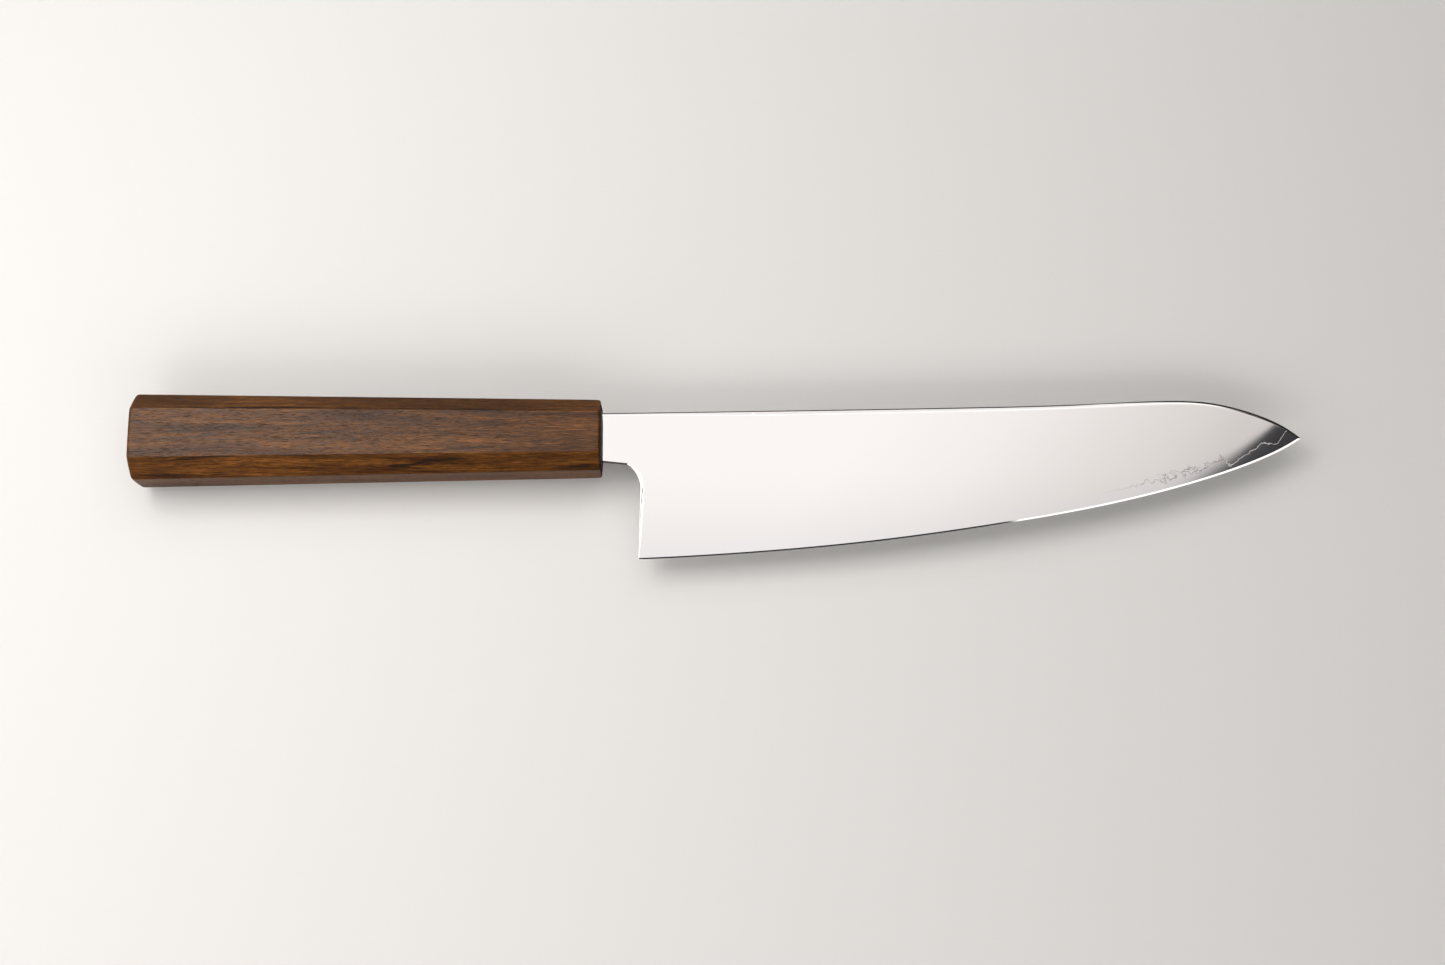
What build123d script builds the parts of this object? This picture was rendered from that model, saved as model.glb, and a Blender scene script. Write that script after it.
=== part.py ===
from build123d import *
from math import sqrt
import os

# A Japanese chef knife with an eight-sided wooden handle, lying on its left side. All sizes are in
# millimetres. The knife is drawn with X from the handle's mouth towards the tip, Y from the handle's axis
# towards the spine, and Z across the knife, from the middle of the steel. It is then moved so that the
# origin is at the middle of the underside of its bounding box.

# Handle: one piece of wood, which tapers from the butt to the mouth. Each end is its height along Y, its
# width along Z, and the leg that a 45 degree flat takes off each corner.
HANDLE_LENGTH = 147.7
BUTT_END = (27.7, 23.6, 5.9)
MOUTH_END = (22.8, 21.6, 4.9)
FLAT_EDGE_ROUND = 0.35
BUTT_ROUND = 1.2
MOUTH_ROUND = 0.6

# Blade outline as (X, Y). The spine and the edge meet at the tip.
TIP = (222.75, -0.8)
HEEL = (12.0, -39.0)
SPINE = [(1, 8.45), (61, 9.1), (121, 9.9), (156, 10.8), (179, 11.7), (193, 11.2), (207, 7.85),
         (217, 3.4), TIP]
EDGE = [HEEL, (46, -37.2), (86, -33.65), (126, -28.2), (161, -21.9), (191, -14.2), (210, -7.5),
        (216.5, -4.5), TIP]
NECK_UNDERSIDE = [(-1.0, -7.3), (12.3, -8.3)]
CHOIL_RADIUS = 5.2

# Blade section, measured from the edge: a short cutting bevel, then a long, slightly convex face.
BEVEL_HEIGHT = 0.6
BEVEL_HALF_THICKNESS = 0.12
FACE_SLOPE = 0.0204
FACE_BULGE = 0.08
FACE_TOP = 54.0
CORE_THICKNESS = 0.4

# The spine, the choil and the back of the heel are rounded to one radius. The cutting solids that round them
# are a little narrower than twice the radius, and wider than the steel.
NOSE_RADIUS = 1.35
NOSE_HALF_WIDTH = 1.3
NOSE_DEPTH = NOSE_RADIUS - sqrt(NOSE_RADIUS**2 - NOSE_HALF_WIDTH**2)
NOTCH_BAND = 2.5

# Tang, hidden in the handle: its upper and lower lines from the neck to its end.
TANG_TOP = [(-3, 8.4), (-30, 3.9), (-98, 2.4)]
TANG_UNDERSIDE = [(-98, -2.4), (-30, -3.9), (-3, -7.3)]

# Seat for the tang: a shallow recess at the mouth, which the seal fills, then a slot and a pilot bore.
SEAT_MIDDLE_Y = 0.5
SEAL_HEIGHT, SEAL_WIDTH, SEAL_DEPTH, SEAL_PROUD = 17.4, 3.6, 1.5, 0.15
SLOT_HEIGHT, SLOT_WIDTH, SLOT_DEPTH = 16.9, 3.0, 34.0
PILOT_RADIUS, PILOT_DEPTH, PILOT_POINT = 4.6, 102.0, 2.7

# How far the cutting solids run past the steel.
BEYOND = 6.0

TO_ORIGIN = Pos((HANDLE_LENGTH - TIP[0]) / 2, -(BUTT_END[0] / 2 + HEEL[1]) / 2, BUTT_END[1] / 2)


def octagon(x, end):
    """The eight corners of the handle's section at x, in order around it."""
    height, width, leg = end
    y, z = height / 2, width / 2
    right_side = [(y - leg, z), (y, z - leg), (y, leg - z), (y - leg, -z)]
    left_side = [(-a, -b) for a, b in right_side]
    return [Vector(x, a, b) for a, b in right_side + left_side]


def handle_blank():
    """The tapered eight-sided handle, with its long edges and its two ends softened."""
    butt = octagon(-HANDLE_LENGTH, BUTT_END)
    mouth = octagon(0, MOUTH_END)
    flats = [[butt[i - 1], butt[i], mouth[i], mouth[i - 1]] for i in range(8)]
    faces = [Face(Wire.make_polygon(corners)) for corners in flats + [butt, mouth]]
    blank = Solid(Shell(faces))
    blank = fillet(blank.edges().filter_by(lambda e: e.length > HANDLE_LENGTH / 2), FLAT_EDGE_ROUND)
    blank = fillet(blank.faces().sort_by(Axis.X)[0].edges(), BUTT_ROUND)
    return fillet(blank.faces().sort_by(Axis.X)[-1].edges(), MOUTH_ROUND)


def long_hole(height, width, x_from, x_to):
    """A hole with half-round ends, upright in the handle, from one X to another."""
    section = Plane.YZ.offset(x_from) * Pos(SEAT_MIDDLE_Y, 0) * SlotOverall(height, width)
    return extrude(section, x_to - x_from)


def tang_seat():
    """The slot behind the mouth's recess, and the pilot bore with its drill point."""
    start = -SEAL_DEPTH - SLOT_DEPTH / 2
    drill = Polyline((start, 0), (start, PILOT_RADIUS), (-PILOT_DEPTH, PILOT_RADIUS),
                     (-PILOT_DEPTH - PILOT_POINT, 0), close=True)
    return long_hole(SLOT_HEIGHT, SLOT_WIDTH, -SLOT_DEPTH, -SEAL_DEPTH) + revolve(make_face(drill), Axis.X)


def run_past(line, reach):
    """A blade line as one smooth path, run on straight by a reach behind the tang's end and past the tip."""
    curve = Spline(*line)
    start, slope = curve @ 0, (curve % 0).Y / (curve % 0).X
    far = TANG_TOP[-1][0] - reach
    behind = Line((far, start.Y + slope * (far - start.X)), start)
    ahead = Line(curve @ 1, curve @ 1 + (curve % 1) * reach)
    return behind + curve + ahead


def carry(outline, path):
    """A section of the blade, drawn across the knife, carried along a path without turning."""
    start = path @ 0
    section = Plane.YZ.offset(start.X) * Pos(start.Y, 0) * make_face(outline)
    return sweep(section, path, normal=(1, 0, 0))


def wedge_blank():
    """The ground section carried along the edge. It is taller than the blade everywhere."""
    half_top = BEVEL_HALF_THICKNESS + FACE_SLOPE * (FACE_TOP - BEVEL_HEIGHT)
    half_middle = (BEVEL_HALF_THICKNESS + half_top) / 2 + FACE_BULGE
    middle = (BEVEL_HEIGHT + FACE_TOP) / 2
    low, high = (BEVEL_HEIGHT, BEVEL_HALF_THICKNESS), (FACE_TOP, half_top)
    right = ThreePointArc(low, (middle, half_middle), high)
    left = ThreePointArc((high[0], -high[1]), (middle, -half_middle), (low[0], -low[1]))
    outline = Line((0, 0), right @ 0) + right + Line(right @ 1, left @ 0) + left + Line(left @ 1, (0, 0))
    return carry(outline, run_past(EDGE, BEYOND))


def nose(height):
    """The section of the waste next to a rounded steel nose, which points to the waste and is at 0."""
    groove = ThreePointArc((-NOSE_DEPTH, NOSE_HALF_WIDTH), (0, 0), (-NOSE_DEPTH, -NOSE_HALF_WIDTH))
    sides = Polyline((-NOSE_DEPTH, -NOSE_HALF_WIDTH), (height, -NOSE_HALF_WIDTH), (height, NOSE_HALF_WIDTH),
                     (-NOSE_DEPTH, NOSE_HALF_WIDTH))
    return groove + sides


def spine_waste():
    """All of the blank above the spine, shaped to leave the spine with a rounded nose."""
    return carry(nose(2 * FACE_TOP), run_past(SPINE, 2 * BEYOND))


def notch_band():
    """A band of waste behind the heel, round the choil and under the neck, which leaves a rounded nose."""
    low = (HEEL[0], HEEL[1] - BEYOND)
    path = FilletPolyline(low, NECK_UNDERSIDE[1], NECK_UNDERSIDE[0], radius=CHOIL_RADIUS)
    start = Plane(origin=low, x_dir=(-1, 0, 0), z_dir=(0, 1, 0))
    return sweep(start * make_face(nose(NOTCH_BAND)), path)


def tang_waste():
    """All of the blank around the tang and below the neck, as far as the middle of the notch's band."""
    far = TANG_TOP[-1][0] - 2 * BEYOND
    high, low = SPINE[0][1] + BEYOND, HEEL[1] - BEYOND
    inset = NOTCH_BAND / 2
    neck, choil = NECK_UNDERSIDE
    above = [(far, high), (TANG_TOP[0][0], high)] + TANG_TOP
    below = [neck, (neck[0], neck[1] - inset), (choil[0] - inset, choil[1] - inset), (choil[0] - inset, low)]
    plan = Polyline(*above, *TANG_UNDERSIDE, *below, (far, low), close=True)
    return extrude(make_face(plan), NOSE_HALF_WIDTH, both=True)


def steel():
    """The whole blade with its neck and tang, before it is parted into its three layers."""
    return wedge_blank() - spine_waste() - notch_band() - tang_waste()


def layer(z_from, z_to):
    """A slab across the whole blade between two heights."""
    length = TIP[0] - TANG_TOP[-1][0] + 4 * BEYOND
    middle_x = (TIP[0] + TANG_TOP[-1][0]) / 2
    return Pos(middle_x, 0, (z_from + z_to) / 2) * Box(length, length, z_to - z_from)


blade = steel()
seal_seat = long_hole(SEAL_HEIGHT, SEAL_WIDTH, -SEAL_DEPTH, SEAL_PROUD)
seat = tang_seat()
core_side = CORE_THICKNESS / 2
nodes = {
    "core_steel": blade & layer(-core_side, core_side),
    "cladding_right": blade & layer(core_side, NOSE_HALF_WIDTH),
    "cladding_left": blade & layer(-NOSE_HALF_WIDTH, -core_side),
    "handle_body": handle_blank() - seat - seal_seat,
    "tang_adhesive": seat - blade,
    "mouth_seal": seal_seat - blade,
}

os.makedirs("parts", exist_ok=True)
for name, shape in nodes.items():
    export_step(TO_ORIGIN * shape, f"parts/{name}.step")
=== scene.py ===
from math import cos, pi, radians, sin

import bmesh
import bpy
import numpy as np
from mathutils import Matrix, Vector


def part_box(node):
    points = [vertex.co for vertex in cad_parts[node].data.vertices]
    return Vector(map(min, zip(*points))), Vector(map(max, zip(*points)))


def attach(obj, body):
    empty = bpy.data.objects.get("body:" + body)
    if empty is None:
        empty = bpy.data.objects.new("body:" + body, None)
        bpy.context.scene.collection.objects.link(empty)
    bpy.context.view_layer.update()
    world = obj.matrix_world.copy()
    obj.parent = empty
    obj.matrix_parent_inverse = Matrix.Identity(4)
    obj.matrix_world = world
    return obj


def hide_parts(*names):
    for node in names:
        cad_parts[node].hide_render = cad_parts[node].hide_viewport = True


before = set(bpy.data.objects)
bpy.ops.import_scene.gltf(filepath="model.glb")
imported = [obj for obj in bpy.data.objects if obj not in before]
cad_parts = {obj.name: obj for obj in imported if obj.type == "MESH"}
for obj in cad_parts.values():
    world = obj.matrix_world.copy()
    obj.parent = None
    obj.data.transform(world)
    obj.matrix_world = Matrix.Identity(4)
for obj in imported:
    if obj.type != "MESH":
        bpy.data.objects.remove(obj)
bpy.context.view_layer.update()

# A Japanese chef knife lying on its left side: a laminated steel blade in an eight-sided wooden handle.
# The knife's own axes are X from the handle's mouth towards the tip, Y from the handle's axis towards the
# spine, and Z across the knife from the middle of the steel. Its sizes are in millimetres.

MM = 0.001
HANDLE_LOW, HANDLE_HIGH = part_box("handle_body")
ORIGIN = Vector((HANDLE_HIGH.x, (HANDLE_LOW.y + HANDLE_HIGH.y) / 2, (HANDLE_LOW.z + HANDLE_HIGH.z) / 2))
HANDLE_LENGTH = (HANDLE_HIGH.x - HANDLE_LOW.x) / MM


def knife(x, y, z):
    """A point given along the knife's own axes, in the frame."""
    return ORIGIN + Vector((x, y, z)) * MM


# ---------------------------------------------------------------------------------------------- lines

TIP = (222.75, -0.8)
HEEL = (12.0, -39.0)
SPINE = [(1, 8.45), (61, 9.1), (121, 9.9), (156, 10.8), (179, 11.7), (193, 11.2), (207, 7.85),
         (217, 3.4), TIP]
EDGE = [HEEL, (46, -37.2), (86, -33.65), (126, -28.2), (161, -21.9), (191, -14.2), (210, -7.5),
        (216.5, -4.5), TIP]
TANG_TOP = [(-98, 2.4), (-30, 3.9), (-3, 8.4)]
UNDERSIDE = [(-98, -2.4), (-30, -3.9), (-3, -7.3), (-1, -7.4), (8.2, -8.4)]

# The choil, as two lines: the outline of the steel, and the line where its rounding meets the face.
CHOIL_OUTLINE = [(8.2, -8.4), (9.2, -9.2), (10.1, -10.1), (10.9, -11.15), (11.55, -12.4), (12.05, -13.9),
                 (12.3, -15.9)]
CHOIL_FACE_LINE = [(8.35, -8.15), (9.7, -8.75), (11.0, -9.75), (12.1, -11.1), (12.9, -12.8), (13.3, -14.5),
                   (13.46, -15.9)]

LINE_STEPS = 3000
RUN_BEHIND = 200


def curve_through(points):
    """A smooth curve through points, as a function of the share of the way along it."""
    points = np.array(points, float)
    knots = np.append(0, np.cumsum(np.linalg.norm(np.diff(points, axis=0), axis=1)))
    gaps = np.diff(knots)
    slopes = np.diff(points, axis=0) / gaps[:, None]
    system = np.eye(len(points))
    target = np.zeros_like(points)
    target[0] = slopes[0] + (slopes[0] - slopes[1]) * gaps[0] / (gaps[0] + gaps[1])
    target[-1] = slopes[-1] + (slopes[-1] - slopes[-2]) * gaps[-1] / (gaps[-1] + gaps[-2])
    for i in range(1, len(points) - 1):
        system[i, i - 1:i + 2] = gaps[i], 2 * (gaps[i - 1] + gaps[i]), gaps[i - 1]
        target[i] = 3 * (gaps[i] * slopes[i - 1] + gaps[i - 1] * slopes[i])
    tangents = np.linalg.solve(system, target)

    def at(share):
        along = np.asarray(share, float) * knots[-1]
        i = np.clip(np.searchsorted(knots, along, side="right") - 1, 0, len(gaps) - 1)
        gap = gaps[i][:, None]
        s = ((along - knots[i]) / gaps[i])[:, None]
        value = points[i] * (1 + 2 * s) * (1 - s)**2 + points[i + 1] * s**2 * (3 - 2 * s)
        return value + gap * (tangents[i] * s * (1 - s)**2 - tangents[i + 1] * s**2 * (1 - s))

    return at


def height_line(points):
    """A line of the blade as a function of x. It runs on straight behind its first point."""
    line = curve_through(points)(np.linspace(0, 1, LINE_STEPS))
    step = line[1] - line[0]
    behind = line[0] - step * RUN_BEHIND / step[0]
    line = np.vstack([behind, line])
    return lambda x: np.interp(x, line[:, 0], line[:, 1])


edge_y = height_line(EDGE)
spine_y = height_line(SPINE)


def top_y(x):
    """The spine, and behind the neck the upper line of the tang."""
    tang = np.interp(x, *np.array(TANG_TOP).T)
    return np.where(x <= TANG_TOP[-1][0], tang, spine_y(x))


def under_y(x):
    """The underside of the tang and the neck."""
    return np.interp(x, *np.array(UNDERSIDE).T)


# ---------------------------------------------------------------------------------------------- blade

# The section: a short cutting bevel, whose height is given as (x, height), then a long, convex face.
BEVEL_HEIGHTS = [(12, 0.45), (140, 0.5), (222, 0.66)]
BEVEL_SLOPE = 0.2
FACE_SLOPE = 0.0204
FACE_BULGE = 0.08
FACE_TOP = 54.0
CORE_HALF_THICKNESS = 0.2

# The largest shares of the blade's height that the bevel and the spine's rounding take, near the tip.
BEVEL_SHARE, SPINE_SHARE = 0.45, 0.3

# The rounding of the spine, which reaches further down the face towards the tip, as (x, extra depth).
SPINE_RADIUS = 1.35
SPINE_BEND = 0.82
SPINE_EXTRA = [(150, 0), (200, 0.65)]

# How far the roundings under the neck, down the back and at the heel reach into the face.
NECK_ROUNDING = 0.25
BACK_ROUNDING = 1.14
BACK_ROUNDING_FADE = 1.7
HEEL_ROUNDING = 0.04
HEEL_CORNER = 0.12

# The blade's side is a grid. Its columns run from the outline up to the spine. Its rows cross a band, which
# is the rounding or the bevel at the outline, then the face, then the rounding of the spine. A band's power
# gives its shape: square under the neck, round down the back and straight along the edge.
TANG_COLUMNS, NECK_COLUMNS, CHOIL_COLUMNS, BACK_COLUMNS, EDGE_COLUMNS = 24, 20, 26, 32, 190
CHOIL_CROWDING, EDGE_CROWDING, FACE_CROWDING = 1.4, 1.3, 1.1
BAND_ROWS = (0, 0.15, 0.3, 0.45, 0.6, 0.75, 0.88, 0.96, 1)
FACE_ROWS = 28
FIRST_FACE_ROW, FIRST_FACE_SHARE = 0.12, 0.2
SQUARE, ROUND, STRAIGHT = 6.0, 1.5, 1.0
SQUARE_END = 0.15

# Where the columns meet the spine: the last one round the choil, the one at the heel, and how far along the
# edge they still lean towards the tip.
CHOIL_TOP_X = 21.0
FAN_REACH = 49.0
FAN_LENGTH = 90.0


def bevel_height(x):
    """The height of the cutting bevel, which is a little taller towards the tip."""
    return np.interp(x, *np.array(BEVEL_HEIGHTS).T)


def half_thickness(x, y):
    """Half the thickness of the steel at a point of the face: a short bevel, then a slightly convex face."""
    above, bevel = y - edge_y(x), bevel_height(x)
    share = (above - bevel) / (FACE_TOP - bevel)
    on_face = BEVEL_SLOPE * bevel + FACE_SLOPE * (above - bevel) + 4 * FACE_BULGE * share * (1 - share)
    return np.where(above < bevel, BEVEL_SLOPE * above, on_face)


def tang_and_neck_columns():
    """Outline points, face-line points, top x and band power of the columns under the tang and the neck."""
    neck_start = UNDERSIDE[2][0]
    tang = np.linspace(UNDERSIDE[0][0], neck_start - 1, TANG_COLUMNS)
    neck = np.linspace(neck_start, UNDERSIDE[-1][0] - 0.1, NECK_COLUMNS)
    x = np.concatenate([tang, neck])
    outline = np.stack([x, under_y(x)], 1)
    return outline, outline + (0, NECK_ROUNDING), x, np.full(len(x), SQUARE)


def choil_columns():
    """The same for the columns round the choil, where the square neck turns into a rounded back."""
    share = np.linspace(0, 1, CHOIL_COLUMNS)**CHOIL_CROWDING
    power = np.interp(share, (0, SQUARE_END), (SQUARE, ROUND))
    top_x = np.interp(share, (0, 1), (UNDERSIDE[-1][0] + 0.1, CHOIL_TOP_X))
    return curve_through(CHOIL_OUTLINE)(share), curve_through(CHOIL_FACE_LINE)(share), top_x, power


def back_columns():
    """The same for the columns down the back of the heel. The rounding fades to nothing at the heel."""
    share = np.linspace(0, 1, BACK_COLUMNS)[1:]
    start, end = np.array(CHOIL_OUTLINE[-1]), np.array((HEEL[0], HEEL[1] + BEVEL_HEIGHTS[0][1]))
    outline = start + (end - start) * share[:, None]
    width = HEEL_ROUNDING + (BACK_ROUNDING + HEEL_ROUNDING / 2) * (1 - share**BACK_ROUNDING_FADE)
    inner = outline + np.stack([width, np.zeros_like(width)], 1)
    return outline, inner, np.interp(share, (0, 1), (CHOIL_TOP_X, FAN_REACH)), np.full(len(share), ROUND)


def edge_columns():
    """The same for the columns along the cutting edge, where the band is the bevel."""
    share = 1 - (1 - np.linspace(0, 1, EDGE_COLUMNS))**EDGE_CROWDING
    x = HEEL[0] + (TIP[0] - HEEL[0]) * share
    outline = np.stack([x, edge_y(x)], 1)
    bevel = np.minimum(bevel_height(x), BEVEL_SHARE * (spine_y(x) - edge_y(x)))
    inner_x = x + np.where(share == 0, HEEL_CORNER, 0)
    inner = np.stack([inner_x, edge_y(inner_x) + bevel], 1)
    fan = (FAN_REACH - HEEL[0]) * np.clip(1 - (x - HEEL[0]) / FAN_LENGTH, 0, 1)**2
    return outline, inner, x + fan, np.full(len(x), STRAIGHT)


def spine_band(x, half):
    """The depth of the rounding at the spine, measured straight down."""
    slope = spine_y(x + 0.5) - spine_y(x - 0.5)
    depth = SPINE_RADIUS - np.sqrt(SPINE_RADIUS**2 - half**2)
    depth = depth + np.interp(x, *np.array(SPINE_EXTRA).T)
    return np.minimum(depth * np.sqrt(1 + slope**2), SPINE_SHARE * (top_y(x) - edge_y(x)))


def blade_grid():
    """The right side of the blade, as columns of (x, y, z, ground_and_shade) from the outline to the spine.
    The last is 1 on the spine and under the neck, where the steel is left rough from the grinder and painted
    near black as shade, and 0 where it is polished."""
    parts = [tang_and_neck_columns(), choil_columns(), back_columns(), edge_columns()]
    outline, inner, top_x, power = (np.concatenate([part[k] for part in parts]) for k in range(4))
    band = np.array(BAND_ROWS)

    inner_z = half_thickness(inner[:, 0], inner[:, 1])
    low_xy = outline[:, None] + (inner - outline)[:, None] * (band**power[:, None])[:, :, None]
    low_z = inner_z[:, None] * band

    top = top_y(top_x)
    half_top = half_thickness(top_x, top)
    shoulder = np.stack([top_x, top - spine_band(top_x, half_top)], 1)
    reach = np.linalg.norm(shoulder - inner, axis=1)
    first = np.minimum(FIRST_FACE_ROW / np.maximum(reach, FIRST_FACE_ROW), FIRST_FACE_SHARE)
    share = first[:, None] + (1 - first[:, None]) * np.linspace(0, 1, FACE_ROWS)**FACE_CROWDING
    face_xy = inner[:, None] + (shoulder - inner)[:, None] * share[:, :, None]
    face_z = half_thickness(face_xy[:, :, 0], face_xy[:, :, 1])

    shoulder_z = face_z[:, -1]
    turn = band[-2::-1]
    lift = (1 - np.sqrt(1 - (SPINE_BEND * turn)**2)) / (1 - np.sqrt(1 - SPINE_BEND**2))
    high_y = top[:, None] - (top - shoulder[:, 1])[:, None] * lift
    high_xy = np.stack([np.repeat(top_x[:, None], len(turn), 1), high_y], 2)
    high_z = shoulder_z[:, None] * turn

    xy = np.concatenate([low_xy, face_xy, high_xy], 1)
    z = np.concatenate([low_z, face_z, high_z], 1)
    ground_and_shade = np.zeros_like(z)
    ground_and_shade[power == SQUARE, :len(band) - 1] = 1
    ground_and_shade[:, -len(turn):] = 1
    return np.dstack([xy, z, ground_and_shade])


def blade_rings(bm):
    """Rings of new vertices round the blade, each up the right side of a column and down its left side. Each
    vertex carries its height above the edge and its finish, whose mask also marks where the steel is painted
    near black as shade."""
    grid = blade_grid()
    columns, rows = grid.shape[:2]
    above = grid[:, :, 1] - edge_y(grid[:, :, 0])
    above_edge = bm.verts.layers.float.new("above_edge")
    ground_and_shade = bm.verts.layers.float.new("ground_and_shade")

    def vertex(i, j, side):
        made = bm.verts.new(knife(grid[i, j, 0], grid[i, j, 1], side * grid[i, j, 2]))
        made[above_edge] = above[i, j]
        made[ground_and_shade] = grid[i, j, 3]
        return made

    rings = []
    for i in range(columns):
        right = [vertex(i, j, 1) for j in range(rows)]
        left = [vertex(i, j, -1) for j in range(rows - 2, 0, -1)]
        rings.append(right + left)
    return rings


def blade_mesh():
    """The whole blade as one closed bmesh."""
    bm = bmesh.new()
    rings = blade_rings(bm)
    size = len(rings[0])
    rows = size // 2 + 1
    for a, b in zip(rings, rings[1:]):
        for j in range(size):
            k = (j + 1) % size
            bm.faces.new((a[j], b[j], b[k], a[k]))
    first = rings[0]
    bm.faces.new((first[0], first[1], first[-1]))
    for j in range(1, rows - 2):
        bm.faces.new((first[j], first[j + 1], first[-j - 1], first[-j]))
    bm.faces.new((first[rows - 2], first[rows - 1], first[rows]))

    band_line = len(BAND_ROWS) - 1
    edge_start = len(rings) - EDGE_COLUMNS
    for a, b in zip(rings[edge_start:], rings[edge_start + 1:]):
        for j in (0, band_line, size - band_line):
            bm.edges.get((a[j], b[j])).smooth = False
    bmesh.ops.remove_doubles(bm, verts=rings[-1], dist=2e-6)
    bmesh.ops.recalc_face_normals(bm, faces=bm.faces)
    return bm


def keep_between(blade, low, high):
    """A closed copy of the blade between two heights across it."""
    bm = blade.copy()
    for height, side in ((low, -1), (high, 1)):
        if height is None:
            continue
        cut = bmesh.ops.bisect_plane(
            bm, geom=bm.verts[:] + bm.edges[:] + bm.faces[:], dist=1e-8,
            plane_co=knife(0, 0, height), plane_no=(0, 0, side), clear_outer=True)
        cut_edges = [e for e in cut["geom_cut"] if isinstance(e, bmesh.types.BMEdge)]
        bmesh.ops.holes_fill(bm, edges=cut_edges, sides=0)
        for edge in cut_edges:
            edge.smooth = False
    bmesh.ops.recalc_face_normals(bm, faces=bm.faces)
    return bm


# --------------------------------------------------------------------------------------------- handle

# Each end is its height along y, its width along z, and the leg that a 45 degree flat takes off a corner.
BUTT_END = (27.7, 23.6, 5.9)
MOUTH_END = (22.8, 21.6, 4.9)

# The long edges have a small rounding, which grows within a short reach of the ends. The flats are crowned.
FLAT_EDGE_ROUND = 0.35
END_EDGE_ROUND = 2.2
END_REACH = 2.4
FLAT_CROWN = 0.05

# The roundings of the two ends. The butt's rim also drops back where it is far from the handle's axis.
BUTT_ROUND = 1.0
MOUTH_ROUND = 0.6
RIM_START = 12.0
RIM_DROP = 0.04
RIM_REACH = 20.0

END_STEPS = 7
CORNER_STEPS = 4
FLAT_STEPS = 6
BODY_RINGS = 60
BODY_INSET = 1.5

# The seat for the tang: a recess for the seal, a slot and a pilot bore with a drill point.
SEAT_MIDDLE_Y = 0.5
SEAL_HEIGHT, SEAL_WIDTH, SEAL_DEPTH = 17.4, 3.6, 1.5
SLOT_HEIGHT, SLOT_WIDTH, SLOT_DEPTH = 16.9, 3.0, 34.0
PILOT_RADIUS, PILOT_DEPTH, PILOT_POINT = 4.6, 102.0, 2.7
BORE_STEPS = 32
BLUNT_POINT = 0.02


def octagon(share, inset):
    """The corners of the handle's section as vectors (y, z), at a share of the way from butt to mouth."""
    height, width, leg = (b + (m - b) * share for b, m in zip(BUTT_END, MOUTH_END))
    y, z, leg = height / 2 - inset, width / 2 - inset, leg - inset * (2 - 2**0.5)
    right = [(y - leg, z), (y, z - leg), (y, leg - z), (y - leg, -z)]
    return [Vector(c) for c in right + [(-a, -b) for a, b in right]]


def section_at(share, inset, rounding):
    """The handle's section as points (y, z), with rounded corners and slightly crowned flats."""
    corners = octagon(share, inset)
    arcs = []
    for i, corner in enumerate(corners):
        back, on = ((corners[k % 8] - corner).normalized() for k in (i - 1, i + 1))
        half = back.angle(on) / 2
        start, end = (corner + way * rounding / np.tan(half) for way in (back, on))
        centre = corner + (back + on).normalized() * rounding / sin(half)
        arms = [(start.lerp(end, k / CORNER_STEPS) - centre).normalized() for k in range(CORNER_STEPS + 1)]
        arcs.append([centre + arm * rounding for arm in arms])
    points = []
    for arc, following in zip(arcs, arcs[1:] + arcs[:1]):
        points += arc
        start, end = arc[-1], following[0]
        inward = -(start + end).normalized()
        for k in range(1, FLAT_STEPS):
            s = k / FLAT_STEPS
            points.append(start.lerp(end, s) + inward * FLAT_CROWN * (1 - 4 * s * (1 - s)))
    return points


def end_rings(end_x, way, rounding):
    """Rings of (x, inset) round a softened end, from its face to the body. Way is +1 at the butt."""
    turns = [pi / 2 * k / END_STEPS for k in range(END_STEPS + 1)]
    return [(end_x + way * rounding * (1 - cos(t)), rounding * (1 - sin(t))) for t in turns]


def handle_blank():
    """The handle without its seat for the tang, as one closed bmesh. The butt's rim drops back a little."""
    rings = end_rings(-HANDLE_LENGTH, 1, BUTT_ROUND)
    rings += [(x, 0) for x in np.linspace(BODY_INSET - HANDLE_LENGTH, -BODY_INSET, BODY_RINGS)]
    rings += reversed(end_rings(0, -1, MOUTH_ROUND))
    bm = bmesh.new()
    loops = []
    for x, inset in rings:
        nearness = max(0, 1 - min(x + HANDLE_LENGTH, -x) / END_REACH)
        rounding = FLAT_EDGE_ROUND + (END_EDGE_ROUND - FLAT_EDGE_ROUND) * nearness**2
        loop = []
        for p in section_at(1 + x / HANDLE_LENGTH, inset, rounding):
            drop = RIM_DROP * max(0, p.length - RIM_START)**2 * max(0, 1 - (x + HANDLE_LENGTH) / RIM_REACH)
            loop.append(bm.verts.new(knife(x + drop, p.x, p.y)))
        loops.append(loop)
    for a, b in zip(loops, loops[1:]):
        for j in range(len(a)):
            k = (j + 1) % len(a)
            bm.faces.new((a[j], b[j], b[k], a[k]))
    for loop in (loops[0], loops[-1]):
        bm.faces.new(loop)
    bmesh.ops.recalc_face_normals(bm, faces=bm.faces)
    return bm


def long_section(height, width, steps=16):
    """A slot with round ends, along Y, as points (y, z)."""
    radius = width / 2
    straight = height / 2 - radius
    angles = [pi * k / steps for k in range(steps + 1)]
    upper = [(SEAT_MIDDLE_Y + straight + radius * sin(a), radius * cos(a)) for a in angles]
    lower = [(SEAT_MIDDLE_Y - straight - radius * sin(a), -radius * cos(a)) for a in angles]
    return upper + lower


def skin(rings):
    """A closed bmesh through rings of (x, [(y, z), ...]), each with as many points as the last."""
    bm = bmesh.new()
    loops = [[bm.verts.new(knife(x, *p)) for p in ring] for x, ring in rings]
    for a, b in zip(loops, loops[1:]):
        for j in range(len(a)):
            k = (j + 1) % len(a)
            bm.faces.new((a[j], b[j], b[k], a[k]))
    bm.faces.new(loops[0])
    bm.faces.new(loops[-1])
    bmesh.ops.recalc_face_normals(bm, faces=bm.faces)
    return bm


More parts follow.
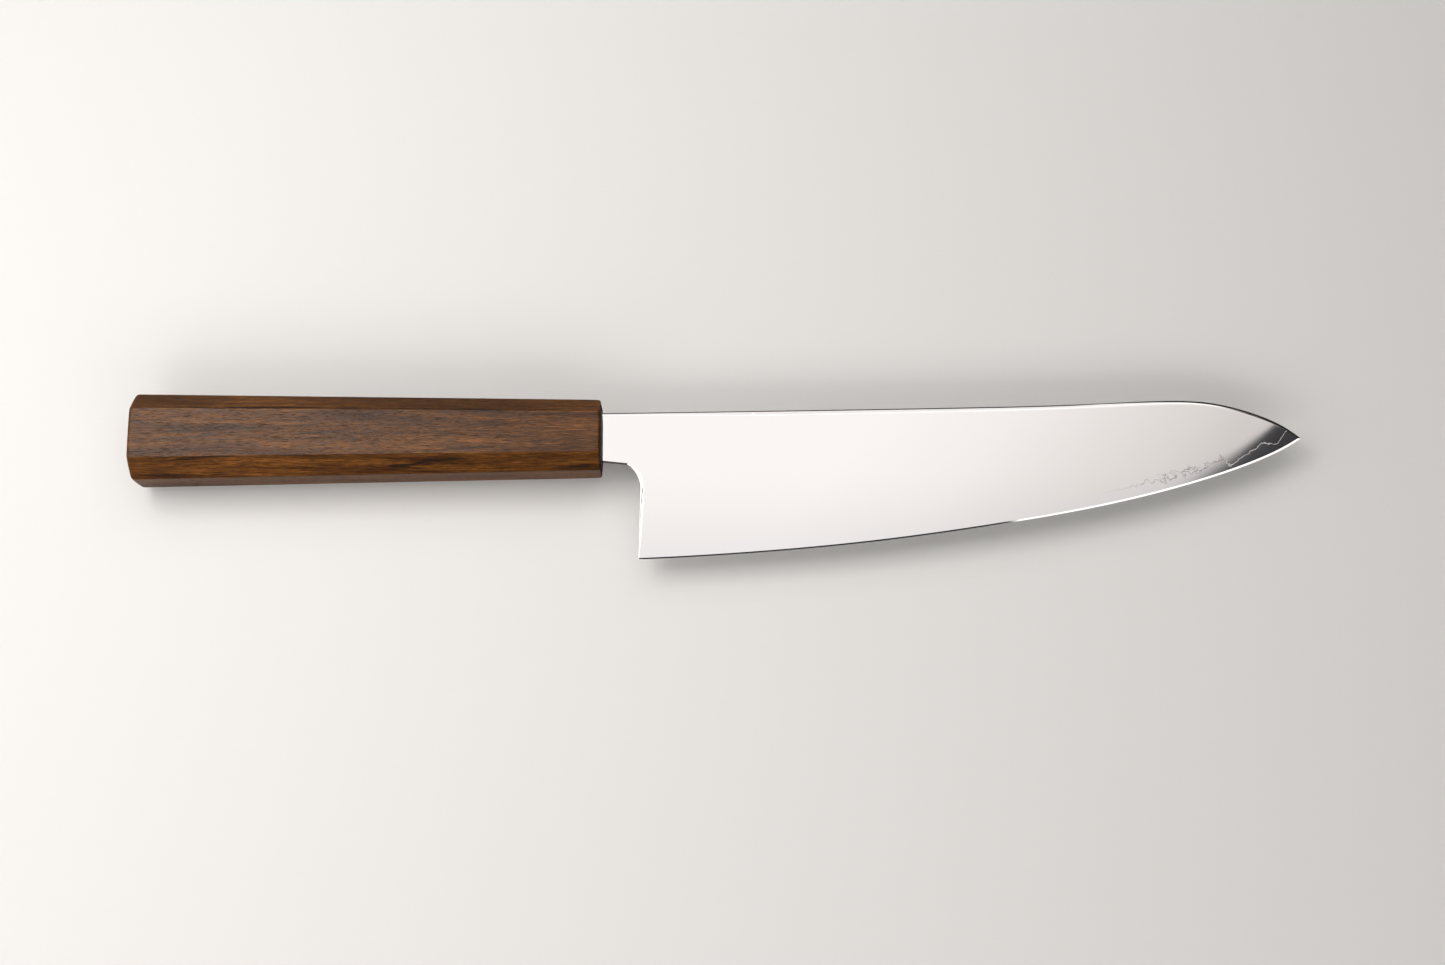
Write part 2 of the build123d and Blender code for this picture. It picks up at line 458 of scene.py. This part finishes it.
def seat_cutters():
    """The recess for the seal, the slot and the pilot bore, as closed bmeshes."""
    recess = long_section(SEAL_HEIGHT, SEAL_WIDTH)
    slot = long_section(SLOT_HEIGHT, SLOT_WIDTH)
    start = -SEAL_DEPTH - SLOT_DEPTH / 2
    around = [2 * pi * k / BORE_STEPS for k in range(BORE_STEPS)]
    bore = [(PILOT_RADIUS * cos(a), PILOT_RADIUS * sin(a)) for a in around]
    point = [(BLUNT_POINT * y, BLUNT_POINT * z) for y, z in bore]
    return [
        skin([(-SEAL_DEPTH, recess), (1.0, recess)]),
        skin([(-SLOT_DEPTH, slot), (-SEAL_DEPTH / 2, slot)]),
        skin([(-PILOT_DEPTH - PILOT_POINT, point), (-PILOT_DEPTH, bore), (start, bore)]),
    ]


# ----------------------------------------------------------------------------------------------- seal

# The neck's section where the bead meets it, and the bead's own section, as (the share of the way from the
# wood to the steel, x).
STEEL_TOP, STEEL_UNDER, STEEL_HALF = 8.38, -7.36, 1.026
BEAD_PROFILE = [(0, -SEAL_DEPTH), (0, -0.15), (0.08, 0.02), (0.3, 0.04), (0.6, 0.04), (0.85, 0.08),
                (1, 0.05), (1, -SEAL_DEPTH)]
BEAD_STEPS = 96
BEAD_CLEARANCE = 0.02
BEAD_WAVES = (2, 3, 5, 8, 13)
BEAD_UNEVENNESS = 0.03
BEAD_SEED = 7


def even_loop(points, count):
    """A closed outline as a count of points, spread evenly round it from its first one."""
    loop = np.array(list(points) + [points[0]])
    along = np.append(0, np.cumsum(np.linalg.norm(np.diff(loop, axis=0), axis=1)))
    at = np.linspace(0, along[-1], count, endpoint=False)
    return np.stack([np.interp(at, along, loop[:, k]) for k in range(2)], 1)


def bead_waves():
    """A slow, random rise and fall for each point round the bead."""
    rng = np.random.default_rng(BEAD_SEED)
    around = np.linspace(0, 2 * pi, BEAD_STEPS, endpoint=False)
    waves = sum(rng.uniform(0.3, 1) * np.sin(n * around + rng.uniform(0, 2 * pi)) for n in BEAD_WAVES)
    return BEAD_UNEVENNESS * waves / np.abs(waves).max()


def seal_bead():
    """The bead of filler between the steel and the wood: a ring whose face is soft and slightly uneven."""
    outer = even_loop(long_section(SEAL_HEIGHT - BEAD_CLEARANCE, SEAL_WIDTH - BEAD_CLEARANCE), BEAD_STEPS)
    across = (STEEL_HALF, 0, -STEEL_HALF)
    steel = [(STEEL_TOP, z) for z in across] + [(STEEL_UNDER, z) for z in reversed(across)]
    inner = even_loop(steel, BEAD_STEPS)
    waves = bead_waves()
    bm = bmesh.new()
    loops = []
    for share, x in BEAD_PROFILE:
        loop = []
        for k in range(BEAD_STEPS):
            y, z = outer[k] + (inner[k] - outer[k]) * share
            lift = waves[k] if x > 0 else 0
            loop.append(bm.verts.new(knife(x + lift, y, z)))
        loops.append(loop)
    for a, b in zip(loops, loops[1:] + loops[:1]):
        for j in range(BEAD_STEPS):
            k = (j + 1) % BEAD_STEPS
            bm.faces.new((a[j], b[j], b[k], a[k]))
    bmesh.ops.recalc_face_normals(bm, faces=bm.faces)
    return bm


# ------------------------------------------------------------------------------------------ materials


def new_material(name, **values):
    """A material with a principled shader whose uniform values are set on the shader itself."""
    material = bpy.data.materials.new(name)
    material.use_nodes = True
    shader = material.node_tree.nodes["Principled BSDF"]
    for key, value in values.items():
        shader.inputs[key.replace("_", " ")].default_value = value
    return material, material.node_tree, shader


def add(tree, kind, inputs=None, **settings):
    """A node with its settings, and with each input either set or linked. It returns the node."""
    node = tree.nodes.new("ShaderNode" + kind)
    for key, value in settings.items():
        setattr(node, key, value)
    for key, value in (inputs or {}).items():
        if isinstance(value, bpy.types.NodeSocket):
            tree.links.new(value, node.inputs[key])
        else:
            node.inputs[key].default_value = value
    return node


def maths(tree, operation, a, b=0.0, c=0.0):
    return add(tree, "Math", {0: a, 1: b, 2: c}, operation=operation).outputs[0]


def vector(tree, operation, a, b):
    return add(tree, "VectorMath", {0: a, 1: b}, operation=operation).outputs[0]


def length(tree, a):
    return add(tree, "VectorMath", {0: a}, operation="LENGTH").outputs["Value"]


def fade(tree, value, low, high, start=0.0, end=1.0, smooth=True):
    """A value taken from start to end as the input goes from low to high."""
    node = add(tree, "MapRange", {"Value": value, "From Min": low, "From Max": high, "To Min": start,
                                  "To Max": end}, interpolation_type="SMOOTHSTEP" if smooth else "LINEAR")
    return node.outputs["Result"]


def blend(tree, share, a, b, how="MIX"):
    node = add(tree, "Mix", {"Factor": share, 6: a, 7: b}, data_type="RGBA", blend_type=how)
    return node.outputs[2]


def ramp(tree, value, stops):
    """A colour ramp with stops of (place, colour)."""
    node = add(tree, "ValToRGB", {"Fac": value})
    elements = node.color_ramp.elements
    while len(elements) < len(stops):
        elements.new(0.5)
    for element, (place, colour) in zip(elements, stops):
        element.position = place
        element.color = (*colour, 1)
    return node.outputs["Color"]


def object_point(tree):
    return add(tree, "TexCoord").outputs["Object"]


def stretched(tree, point, lengths, offset=(0, 0, 0)):
    """The point in units of the given lengths in millimetres along X, Y and Z."""
    scale = tuple(1 / (each * MM) for each in lengths)
    return add(tree, "Mapping", {"Vector": point, "Scale": scale, "Location": offset}).outputs[0]


def noise(tree, point, detail=2.0, roughness=0.5, distortion=0.0):
    inputs = {"Vector": point, "Scale": 1.0, "Detail": detail, "Roughness": roughness,
              "Distortion": distortion}
    return add(tree, "TexNoise", inputs)


def bump(tree, height, distance, strength=1.0):
    inputs = {"Height": height, "Distance": distance * MM, "Strength": strength}
    return add(tree, "Bump", inputs).outputs["Normal"]


def grey(tree, value):
    return add(tree, "CombineColor", {0: value, 1: value, 2: value}).outputs[0]


CORE_STEEL = (0.645, 0.635, 0.635)
CLADDING_STEEL = (0.65, 0.635, 0.625)
# The colour of the spine and of the neck's underside: near-black steel, which is painted shade.
GROUND_STEEL_PAINTED_SHADE = (0.045, 0.038, 0.033)

# The line where the core comes out of the cladding, as (x, height above the edge), the stretch where it is
# folded, and the stretch where it comes to show clearly.
CLAD_LINE = [(140, 3.6), (186, 4.3), (192, 4.6), (197, 4.6), (199.5, 1.5), (201.5, 2.2), (204, 3.3),
             (207.5, 3.9), (210, 4.9), (212.2, 4.1), (213.2, 3.9), (213.9, 2.9), (215, 2.6), (216.3, 3.6),
             (218.2, 5.2), (223, 10)]
CLAD_FOLDS = (184, 201)
CLAD_SHOWS = (150, 196)
FOLD_HEIGHT = 11.0
KINK_HEIGHT = 2.0


def clad_line(tree, point, above):
    """How far a point of the face is above the clad line, in millimetres, with the line's half thickness and
    the point's x. The line is folded into islands along one stretch, and only kinked a little elsewhere."""
    x = add(tree, "SeparateXYZ", {0: point}).outputs["X"]
    start, end = CLAD_LINE[0][0], CLAD_LINE[-1][0]
    highest = max(height for _, height in CLAD_LINE)
    share = fade(tree, x, knife(start, 0, 0).x, knife(end, 0, 0).x, smooth=False)
    stops = [((at - start) / (end - start), [height / highest] * 3) for at, height in CLAD_LINE]
    line = ramp(tree, share, stops)

    low, high = (knife(at, 0, 0).x for at in CLAD_FOLDS)
    folded = fade(tree, x, low - 30 * MM, low)
    folded = maths(tree, "MULTIPLY", folded, fade(tree, x, high - 2 * MM, high, 1, 0))
    coarse = noise(tree, stretched(tree, point, (3.4, 2.8, 3)), 2.5, 0.6, 0.8).outputs["Fac"]
    fine = noise(tree, stretched(tree, point, (2.0, 2.0, 3), (4, 9, 2)), 2.5, 0.6).outputs["Fac"]
    folds = maths(tree, "MULTIPLY", folded, FOLD_HEIGHT)
    wander = maths(tree, "MULTIPLY", maths(tree, "SUBTRACT", coarse, 0.5), folds)
    wander = maths(tree, "MULTIPLY_ADD", maths(tree, "SUBTRACT", fine, 0.5), KINK_HEIGHT, wander)
    line = maths(tree, "MULTIPLY_ADD", line, highest, wander)
    thickness = maths(tree, "MULTIPLY_ADD", folded, 0.3, 0.18)
    return maths(tree, "SUBTRACT", above, line), thickness, x


def steel_material(name, colour):
    """Polished steel with fine polishing lines. The clad line is a hair of duller, slightly raised steel. The
    spine and the neck's underside are rougher, left from the grinder, and painted near black as shade."""
    material, tree, shader = new_material(name, Metallic=1.0)
    point = object_point(tree)
    above = add(tree, "Attribute", attribute_name="above_edge").outputs["Fac"]
    ground_and_shade = add(tree, "Attribute", attribute_name="ground_and_shade").outputs["Fac"]
    from_line, thickness, x = clad_line(tree, point, above)
    line = fade(tree, maths(tree, "ABSOLUTE", from_line), 0.03, thickness, 1, 0)
    low, high = (knife(at, 0, 0).x for at in CLAD_SHOWS)
    line = maths(tree, "MULTIPLY", line, fade(tree, x, low, high, 0.15, 1.0))
    core = fade(tree, from_line, -0.15, 0.05, 1, 0)

    lines = noise(tree, stretched(tree, point, (14, 0.25, 0.25)), 3.0, 0.6).outputs["Fac"]
    smudge = noise(tree, stretched(tree, point, (26, 17, 9)), 3.0).outputs["Fac"]
    finish = maths(tree, "MULTIPLY_ADD", lines, 0.02, 0.026)
    finish = maths(tree, "MULTIPLY_ADD", smudge, 0.01, finish)
    finish = maths(tree, "MULTIPLY_ADD", core, 0.012, finish)
    finish = maths(tree, "MULTIPLY_ADD", line, 0.28, finish)
    finish = maths(tree, "MULTIPLY_ADD", ground_and_shade, 0.30, finish)
    tree.links.new(finish, shader.inputs["Roughness"])
    # Where the mask is 1, the steel's colour is blended to near black: painted shade.
    tree.links.new(blend(tree, ground_and_shade, (*colour, 1), (*GROUND_STEEL_PAINTED_SHADE, 1)), shader.inputs["Base Color"])
    tree.links.new(bump(tree, line, 0.01, 0.5), shader.inputs["Normal"])
    return material


WOOD_TONES = [(0.30, (0.035, 0.012, 0.002)), (0.46, (0.065, 0.023, 0.004)), (0.58, (0.094, 0.034, 0.006)),
              (0.74, (0.130, 0.050, 0.010))]
WOOD_DARK = (0.016, 0.007, 0.003)

# The growth bands: where the pith passes, as (y, z), how much it leans, the bands' frequencies along and
# across the grain, and how far the grain wanders.
PITH = (-52, -34)
PITH_LEAN = 0.02
BANDS_ALONG, BANDS_ACROSS = 16.0, 420.0
WANDER = 4.0

# Black veins in the wood: the middle, the half-sizes, the turn in degrees and the strength of each.
VEINS = [
    ((-54, -9.3, 8.7), (24, 1.1, 3.0), 7, 1.0), ((-7, -10.4, 6.8), (8, 1.0, 1.5), 0, 0.9),
    ((-128, -8.6, 11.0), (17, 0.8, 1.0), 1, 0.9), ((-136, -12.6, 7.0), (9, 0.8, 1.5), 0, 0.8),
    ((-119, -12.3, 7.0), (4, 0.6, 1.5), 0, 0.7), ((-124, 0.4, 11.4), (27, 1.2, 3.0), 1, 0.55),
    ((-41, -5.4, 11.0), (12, 0.5, 1.0), 3, 0.8), ((-34, 2.6, 11.0), (9, 1.8, 2.0), 0, 0.45),
    ((-78, 7.9, 10.9), (76, 0.7, 1.2), -0.56, 1.0), ((-104, 9.6, 9.3), (46, 0.3, 1.0), -0.5, 0.8),
    ((-30, 8.6, 9.0), (30, 0.3, 1.0), -0.6, 0.6),
]


def veins(tree, grain, ragged):
    """How black the wood is at a point, from its veins. Ragged is a noise that breaks up their outlines."""
    black = 0.0
    for middle, halves, turn, strength in VEINS:
        inputs = {"Vector": grain, "Location": knife(*middle), "Rotation": (0, 0, radians(turn)),
                  "Scale": [half * MM for half in halves]}
        inside = add(tree, "Mapping", inputs, vector_type="TEXTURE").outputs[0]
        reach = maths(tree, "MULTIPLY_ADD", maths(tree, "SUBTRACT", ragged, 0.5), 2.4, length(tree, inside))
        black = maths(tree, "MAXIMUM", black, fade(tree, reach, 0.35, 1.0, strength, 0))
    return black


def wandering(tree, point):
    """The point, pushed about across the grain by a slow noise."""
    warp = noise(tree, stretched(tree, point, (60, 14, 14)), 3.0).outputs["Color"]
    warp = vector(tree, "SUBTRACT", warp, (0.5, 0.5, 0.5))
    warp = vector(tree, "MULTIPLY", warp, (0, WANDER * MM, WANDER * MM))
    return vector(tree, "ADD", point, warp)


def growth_bands(tree, grain):
    """The wood's tone, from bands round the pith, which leans a little along the handle."""
    along = add(tree, "SeparateXYZ", {0: grain}).outputs["X"]
    across = vector(tree, "SUBTRACT", grain, knife(0, *PITH))
    radius = length(tree, vector(tree, "MULTIPLY", across, (0, 1, 1)))
    radius = maths(tree, "MULTIPLY_ADD", along, PITH_LEAN, radius)
    along = maths(tree, "MULTIPLY", along, BANDS_ALONG)
    radius = maths(tree, "MULTIPLY", radius, BANDS_ACROSS)
    place = add(tree, "CombineXYZ", {"X": along, "Y": radius}).outputs[0]
    rings = noise(tree, place, 5.0, 0.62).outputs["Fac"]
    return ramp(tree, rings, WOOD_TONES)


def wood_material(name):
    """Dark walnut: wandering growth bands, black veins, fine fibres and short open pores. The two wide flats
    are rubbed shinier than the rest, and the end grain is darker and duller."""
    material, tree, shader = new_material(name)
    grain = wandering(tree, object_point(tree))
    strands = noise(tree, stretched(tree, grain, (10, 0.6, 0.6)), 4.0, 0.7).outputs["Fac"]
    fibres = noise(tree, stretched(tree, grain, (3.6, 0.2, 0.2)), 2.0, 0.6).outputs["Fac"]
    pores = noise(tree, stretched(tree, grain, (2.8, 0.16, 0.16)), 1.0).outputs["Fac"]
    pore = fade(tree, pores, 0.58, 0.70)
    facing = add(tree, "SeparateXYZ", {0: add(tree, "TexCoord").outputs["Normal"]})
    end_grain = fade(tree, maths(tree, "ABSOLUTE", facing.outputs["X"]), 0.8, 0.97)

    coarse_tone = fade(tree, strands, 0.3, 0.7, 0.56, 1.44)
    tone = maths(tree, "MULTIPLY", coarse_tone, fade(tree, fibres, 0.3, 0.7, 0.6, 1.4))
    colour = blend(tree, 1.0, growth_bands(tree, grain), grey(tree, tone), "MULTIPLY")
    streaks = noise(tree, stretched(tree, grain, (30, 2.2, 2.2), (3, 1, 5)), 5.0, 0.62).outputs["Fac"]
    ragged = noise(tree, stretched(tree, grain, (7, 0.7, 0.7), (8, 2, 6)), 4.0, 0.6).outputs["Fac"]
    black = maths(tree, "MAXIMUM", fade(tree, streaks, 0.58, 0.70, 0, 0.5), veins(tree, grain, ragged))
    black = maths(tree, "MAXIMUM", black, maths(tree, "MULTIPLY", pore, 0.55))
    black = maths(tree, "MAXIMUM", black, maths(tree, "MULTIPLY", end_grain, 0.6))
    tree.links.new(blend(tree, black, colour, (*WOOD_DARK, 1)), shader.inputs["Base Color"])

    shine = fade(tree, maths(tree, "ABSOLUTE", facing.outputs["Z"]), 0.8, 0.97, 0.06, 0.21)
    tree.links.new(shine, shader.inputs["Specular IOR Level"])
    finish = maths(tree, "MULTIPLY_ADD", strands, 0.3, 0.21)
    finish = maths(tree, "MULTIPLY_ADD", pore, 0.2, finish)
    finish = maths(tree, "MULTIPLY_ADD", end_grain, 0.4, finish)
    tree.links.new(finish, shader.inputs["Roughness"])
    relief = maths(tree, "MULTIPLY_ADD", fibres, 0.5, maths(tree, "MULTIPLY", pore, -1.0))
    relief = maths(tree, "MULTIPLY_ADD", strands, 0.35, relief)
    tree.links.new(bump(tree, relief, 0.05, 0.6), shader.inputs["Normal"])
    return material


def filler_material(name, dark, light, roughness):
    """A cast or smeared filler, mottled between two colours, with a slightly pitted surface."""
    material, tree, shader = new_material(name, Roughness=roughness)
    point = object_point(tree)
    mottle = noise(tree, stretched(tree, point, (1.5, 1.5, 1.5)), 4.0, 0.6).outputs["Fac"]
    tree.links.new(ramp(tree, mottle, [(0.35, dark), (0.65, light)]), shader.inputs["Base Color"])
    pits = noise(tree, stretched(tree, point, (0.4, 0.4, 0.4)), 2.0).outputs["Fac"]
    tree.links.new(bump(tree, pits, 0.03), shader.inputs["Normal"])
    return material


# --------------------------------------------------------------------------------------------- pieces


def make_object(name, bm, material):
    """A smooth-shaded object from a bmesh, with its material."""
    for face in bm.faces:
        face.smooth = True
    mesh = bpy.data.meshes.new(name)
    bm.to_mesh(mesh)
    bm.free()
    mesh.materials.append(material)
    made = bpy.data.objects.new(name, mesh)
    bpy.context.scene.collection.objects.link(made)
    return made


def cut_away(piece, cutter):
    """The cutter's volume taken out of the piece for good."""
    tool = make_object(piece.name + "_cutter", cutter, piece.data.materials[0])
    modifier = piece.modifiers.new("cut", "BOOLEAN")
    modifier.object = tool
    modifier.solver = "EXACT"
    with bpy.context.temp_override(object=piece, active_object=piece):
        bpy.ops.object.modifier_apply(modifier=modifier.name)
    bpy.data.objects.remove(tool)


def sharpen(piece, angle):
    """Edges that turn by more than the angle in degrees are shown sharp."""
    bm = bmesh.new()
    bm.from_mesh(piece.data)
    for edge in bm.edges:
        if len(edge.link_faces) == 2 and edge.calc_face_angle() > radians(angle):
            edge.smooth = False
    bm.to_mesh(piece.data)
    bm.free()


def place(piece, node, slot):
    """The piece rides on the knife and stands for a CAD node, which it hides. The slot is not used."""
    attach(piece, "root")
    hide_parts(node)


SHARP_ANGLE = 50


def make_blade():
    core_steel = steel_material("core_steel_polish", CORE_STEEL)
    cladding_steel = steel_material("cladding_steel_polish", CLADDING_STEEL)
    blade = blade_mesh()
    edge = CORE_HALF_THICKNESS
    core = keep_between(blade, -edge, edge)
    place(make_object("blade_core", core, core_steel), "core_steel", "core_steel")
    right = keep_between(blade, edge, None)
    place(make_object("blade_cladding_right", right, cladding_steel), "cladding_right", "cladding_steel")
    left = keep_between(blade, None, -edge)
    place(make_object("blade_cladding_left", left, cladding_steel), "cladding_left", "cladding_steel")
    blade.free()


def make_handle():
    handle = make_object("walnut_handle", handle_blank(), wood_material("walnut_wood"))
    for cutter in seat_cutters():
        cut_away(handle, cutter)
    sharpen(handle, SHARP_ANGLE)
    place(handle, "handle_body", "walnut")


def make_fillers():
    bead_filler = filler_material("seal_filler", (0.05, 0.045, 0.04), (0.16, 0.15, 0.14), 0.5)
    bead = make_object("mouth_bead", seal_bead(), bead_filler)
    sharpen(bead, SHARP_ANGLE)
    place(bead, "mouth_seal", "seal")
    adhesive = filler_material("tang_epoxy", (0.20, 0.11, 0.04), (0.36, 0.22, 0.10), 0.3)
    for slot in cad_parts["tang_adhesive"].material_slots:
        slot.material = adhesive


# --------------------------------------------------------------------------------------------- studio

CEILING = 600
WARM = (1.0, 0.977, 0.963)

# The overhead softbox's brightness, in millimetres from a corner past the tip: where it fades, where it is
# dimmer towards the front, where it is hot over the handle, the slant of its soft edge in degrees, and where
# that edge grows softer towards the front.
OVERHEAD_CORNER = (381.5, 113)
FADES = (-260, -20)
DIMMER = (-90, -10)
HOT = (-600, -415)
HOT_RADIANCE = 4.8
EDGE_SLANT = 35.2
EDGE_SOFTENS = (-22, 12)

FLOOR_HALF = 4000

# The camera's target, its direction in degrees and its distance.
LOOKS_AT = (38.5, -14.34, 0)
ELEVATION = 77.48
AZIMUTH = 0.26
DISTANCE = 636.1


def overhead_pattern(tree):
    """The overhead softbox's own brightness: it is brightest over the handle, fades towards the tip, and ends
    at a slanting soft edge."""
    spot = add(tree, "NewGeometry").outputs["Position"]
    corner = knife(*OVERHEAD_CORNER, CEILING)
    spot = vector(tree, "SUBTRACT", spot, corner)

    def along(x, y):
        way = {0: spot, 1: (x / MM, y / MM, 0)}
        return add(tree, "VectorMath", way, operation="DOT_PRODUCT").outputs["Value"]

    bright = ramp(tree, fade(tree, along(1, -0.8), *FADES, smooth=False), [
        (0.0, (1.0, 1.0, 1.0)), (0.35, (0.93, 0.925, 0.92)), (0.62, (0.82, 0.81, 0.805)),
        (0.88, (0.725, 0.71, 0.705)), (1.0, (0.655, 0.64, 0.635))])
    low = fade(tree, along(0, 1), *DIMMER, 0.86, 1.0)
    slant = radians(EDGE_SLANT)
    softness = fade(tree, along(0, 1), *EDGE_SOFTENS, 7.0, 1.2)
    past = maths(tree, "DIVIDE", along(sin(slant), -cos(slant)), softness)
    edge = fade(tree, past, -1, 1, 1, 0)
    hot = fade(tree, along(1, 0), *HOT, HOT_RADIANCE, 1.0, smooth=False)
    shade = grey(tree, maths(tree, "MULTIPLY", hot, maths(tree, "MULTIPLY", low, edge)))
    return blend(tree, 1.0, blend(tree, 1.0, bright, shade, "MULTIPLY"), (*WARM, 1), "MULTIPLY")


def softbox(name, centre, size, radiance, aim=None, pattern=None):
    """A soft light of a size in millimetres at a point of the knife's axes. It faces down or at its aim."""
    data = bpy.data.lights.new(name, "AREA")
    data.shape = "RECTANGLE"
    data.size, data.size_y = (s * MM for s in size)
    data.energy = radiance * pi * data.size * data.size_y
    data.color = WARM
    light = bpy.data.objects.new(name, data)
    light.location = knife(*centre)
    if aim is not None:
        light.rotation_euler = (knife(*aim) - light.location).to_track_quat("-Z", "Y").to_euler()
    light.visible_camera = False
    bpy.context.scene.collection.objects.link(light)
    if pattern is not None:
        data.color = (1, 1, 1)
        data.use_nodes = True
        data.node_tree.links.new(pattern(data.node_tree), data.node_tree.nodes["Emission"].inputs["Color"])


def make_lights():
    """An overhead softbox, which the blade mirrors, large soft lights behind and in front, a narrow one for
    the bevel near the tip, and one on the left for the choil and the back of the heel."""
    softbox("overhead", (-40, 150, CEILING), (920, 400), 1.42, pattern=overhead_pattern)
    softbox("back", (0, 640, 780), (1300, 420), 1.3, aim=(20, 0, 0))
    softbox("front", (80, -760, 600), (1300, 420), 2.6, aim=(20, 0, 0))
    softbox("front_right", (460, -130, CEILING), (400, 90), 2.0)
    softbox("left", (-520, -260, 300), (1100, 620), 1.65, aim=(0, 0, 0))


def make_world():
    world = bpy.data.worlds.new("studio")
    bpy.context.scene.world = world
    world.use_nodes = True
    tree = world.node_tree
    up = add(tree, "SeparateXYZ", {0: add(tree, "TexCoord").outputs["Generated"]}).outputs["Z"]
    shade = ramp(tree, up, [
        (0.0, (0.22, 0.22, 0.225)), (0.35, (0.26, 0.26, 0.265)), (0.6, (0.1, 0.1, 0.105)),
        (0.8, (0.06, 0.06, 0.065))])
    tree.links.new(shade, tree.nodes["Background"].inputs["Color"])


def make_floor():
    material, _, _ = new_material("pale_floor", Base_Color=(0.60, 0.592, 0.575, 1), Roughness=0.7)
    bm = bmesh.new()
    bmesh.ops.create_grid(bm, x_segments=1, y_segments=1, size=FLOOR_HALF * MM)
    floor = make_object("floor", bm, material)


def make_camera():
    """A normal lens above and a little in front of the knife, looking down at the middle of the view."""
    elevation, azimuth = radians(ELEVATION), radians(AZIMUTH)
    level = cos(elevation)
    ahead = Vector((sin(azimuth) * level, cos(azimuth) * level, -sin(elevation)))
    data = bpy.data.cameras.new("camera")
    data.lens, data.sensor_width = 50, 36
    camera = bpy.data.objects.new("camera", data)
    camera.location = knife(*LOOKS_AT) - ahead * DISTANCE * MM
    camera.rotation_euler = (pi / 2 - elevation, 0, -azimuth)
    bpy.context.scene.collection.objects.link(camera)
    bpy.context.scene.camera = camera


make_camera()
make_world()
make_floor()
make_lights()
make_blade()
make_handle()
make_fillers()
bpy.context.scene.view_settings.view_transform = "Standard"
